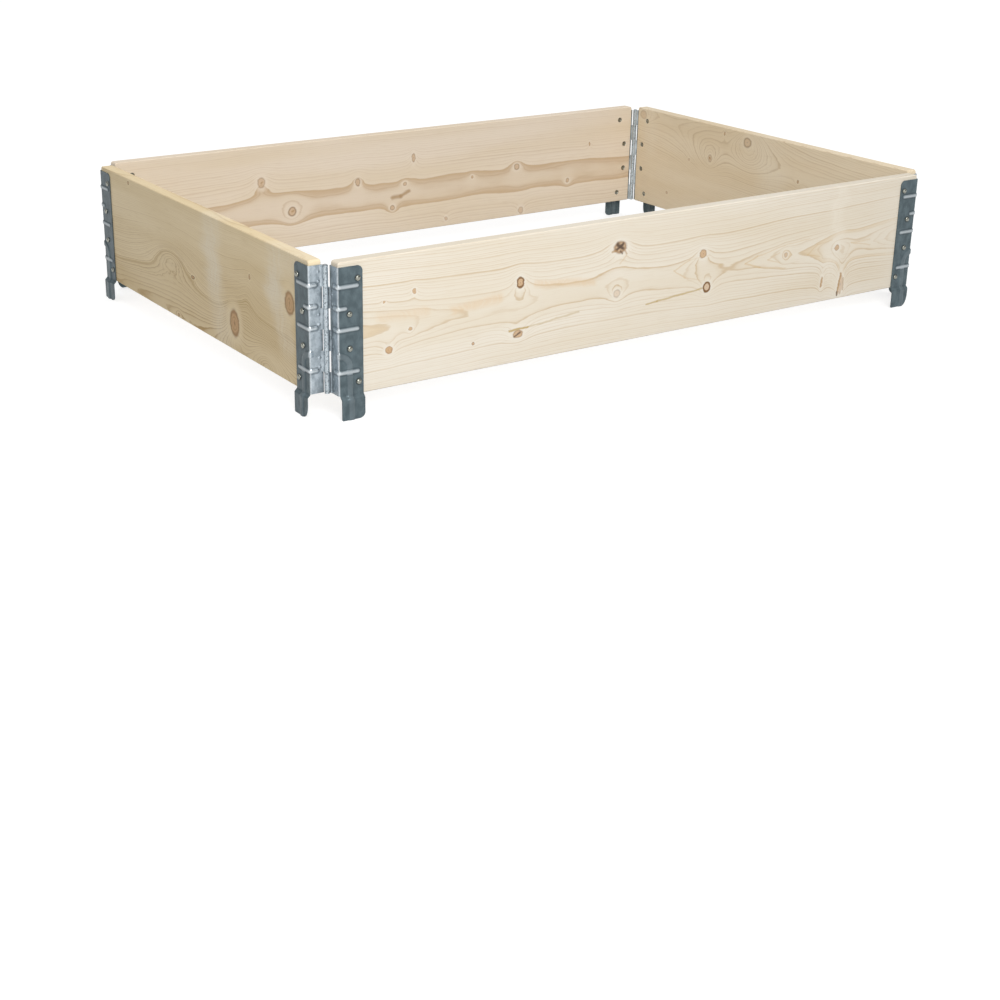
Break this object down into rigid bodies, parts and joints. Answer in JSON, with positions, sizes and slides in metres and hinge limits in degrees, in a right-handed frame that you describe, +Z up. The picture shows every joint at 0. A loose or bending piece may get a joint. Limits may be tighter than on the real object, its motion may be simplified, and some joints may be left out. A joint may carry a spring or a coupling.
{
  "type": "folding wooden pallet collar",
  "caption": "Rectangular collar of planed boards joined by pinned steel corner hinges, so it stands on a pallet as a box side and folds flat.",
  "frame": {"origin": "middle of the collar in plan, level with the bottom of the hinge skirts", "axes": "+X along the long boards, +Y from the front long board to the back one, +Z up"},
  "size_m": [1.2158, 0.8158, 0.23],
  "materials": {
    "spruce": "planed, bare",
    "zinc_plated_steel": "pressed sheet, zinc plated",
    "rivet_steel": "zinc plated",
    "pin_steel": "zinc plated"
  },
  "bodies": {
    "front": {"front_board": "spruce", "front_board_left_leaf": "zinc_plated_steel", "front_board_left_rivet_1": "rivet_steel", "front_board_left_rivet_2": "rivet_steel", "front_board_left_rivet_3": "rivet_steel", "front_board_left_rivet_4": "rivet_steel", "front_board_right_leaf": "zinc_plated_steel", "front_board_right_rivet_1": "rivet_steel", "front_board_right_rivet_2": "rivet_steel", "front_board_right_rivet_3": "rivet_steel", "front_board_right_rivet_4": "rivet_steel", "front_left_pin": "pin_steel", "front_right_pin": "pin_steel"},
    "back": {"back_board": "spruce", "back_board_left_leaf": "zinc_plated_steel", "back_board_left_rivet_1": "rivet_steel", "back_board_left_rivet_2": "rivet_steel", "back_board_left_rivet_3": "rivet_steel", "back_board_left_rivet_4": "rivet_steel", "back_board_right_leaf": "zinc_plated_steel", "back_board_right_rivet_1": "rivet_steel", "back_board_right_rivet_2": "rivet_steel", "back_board_right_rivet_3": "rivet_steel", "back_board_right_rivet_4": "rivet_steel", "back_left_pin": "pin_steel", "back_right_pin": "pin_steel"},
    "left": {"left_board": "spruce", "left_board_front_leaf": "zinc_plated_steel", "left_board_front_rivet_1": "rivet_steel", "left_board_front_rivet_2": "rivet_steel", "left_board_front_rivet_3": "rivet_steel", "left_board_front_rivet_4": "rivet_steel", "left_board_back_leaf": "zinc_plated_steel", "left_board_back_rivet_1": "rivet_steel", "left_board_back_rivet_2": "rivet_steel", "left_board_back_rivet_3": "rivet_steel", "left_board_back_rivet_4": "rivet_steel"},
    "right": {"right_board": "spruce", "right_board_front_leaf": "zinc_plated_steel", "right_board_front_rivet_1": "rivet_steel", "right_board_front_rivet_2": "rivet_steel", "right_board_front_rivet_3": "rivet_steel", "right_board_front_rivet_4": "rivet_steel", "right_board_back_leaf": "zinc_plated_steel", "right_board_back_rivet_1": "rivet_steel", "right_board_back_rivet_2": "rivet_steel", "right_board_back_rivet_3": "rivet_steel", "right_board_back_rivet_4": "rivet_steel"}
  },
  "joints": [
    {"name": "fold_front_left", "type": "hinge", "parent": "front", "child": "left", "pos_m": [-0.5775, -0.3775, 0.1294], "axis": [0, 0, 1], "range_deg": [-89, 89]},
    {"name": "fold_front_right", "type": "hinge", "parent": "front", "child": "right", "pos_m": [0.5775, -0.3775, 0.1294], "axis": [0, 0, 1], "range_deg": [-89, 89]},
    {"name": "fold_back_left", "type": "hinge", "parent": "left", "child": "back", "pos_m": [-0.5775, 0.3775, 0.1294], "axis": [0, 0, 1], "range_deg": [-89, 89]}
  ],
  "couplings": [
    {"joint": "fold_front_right", "follows": "fold_front_left", "ratio": 1},
    {"joint": "fold_back_left", "follows": "fold_front_left", "ratio": -1}
  ]
}
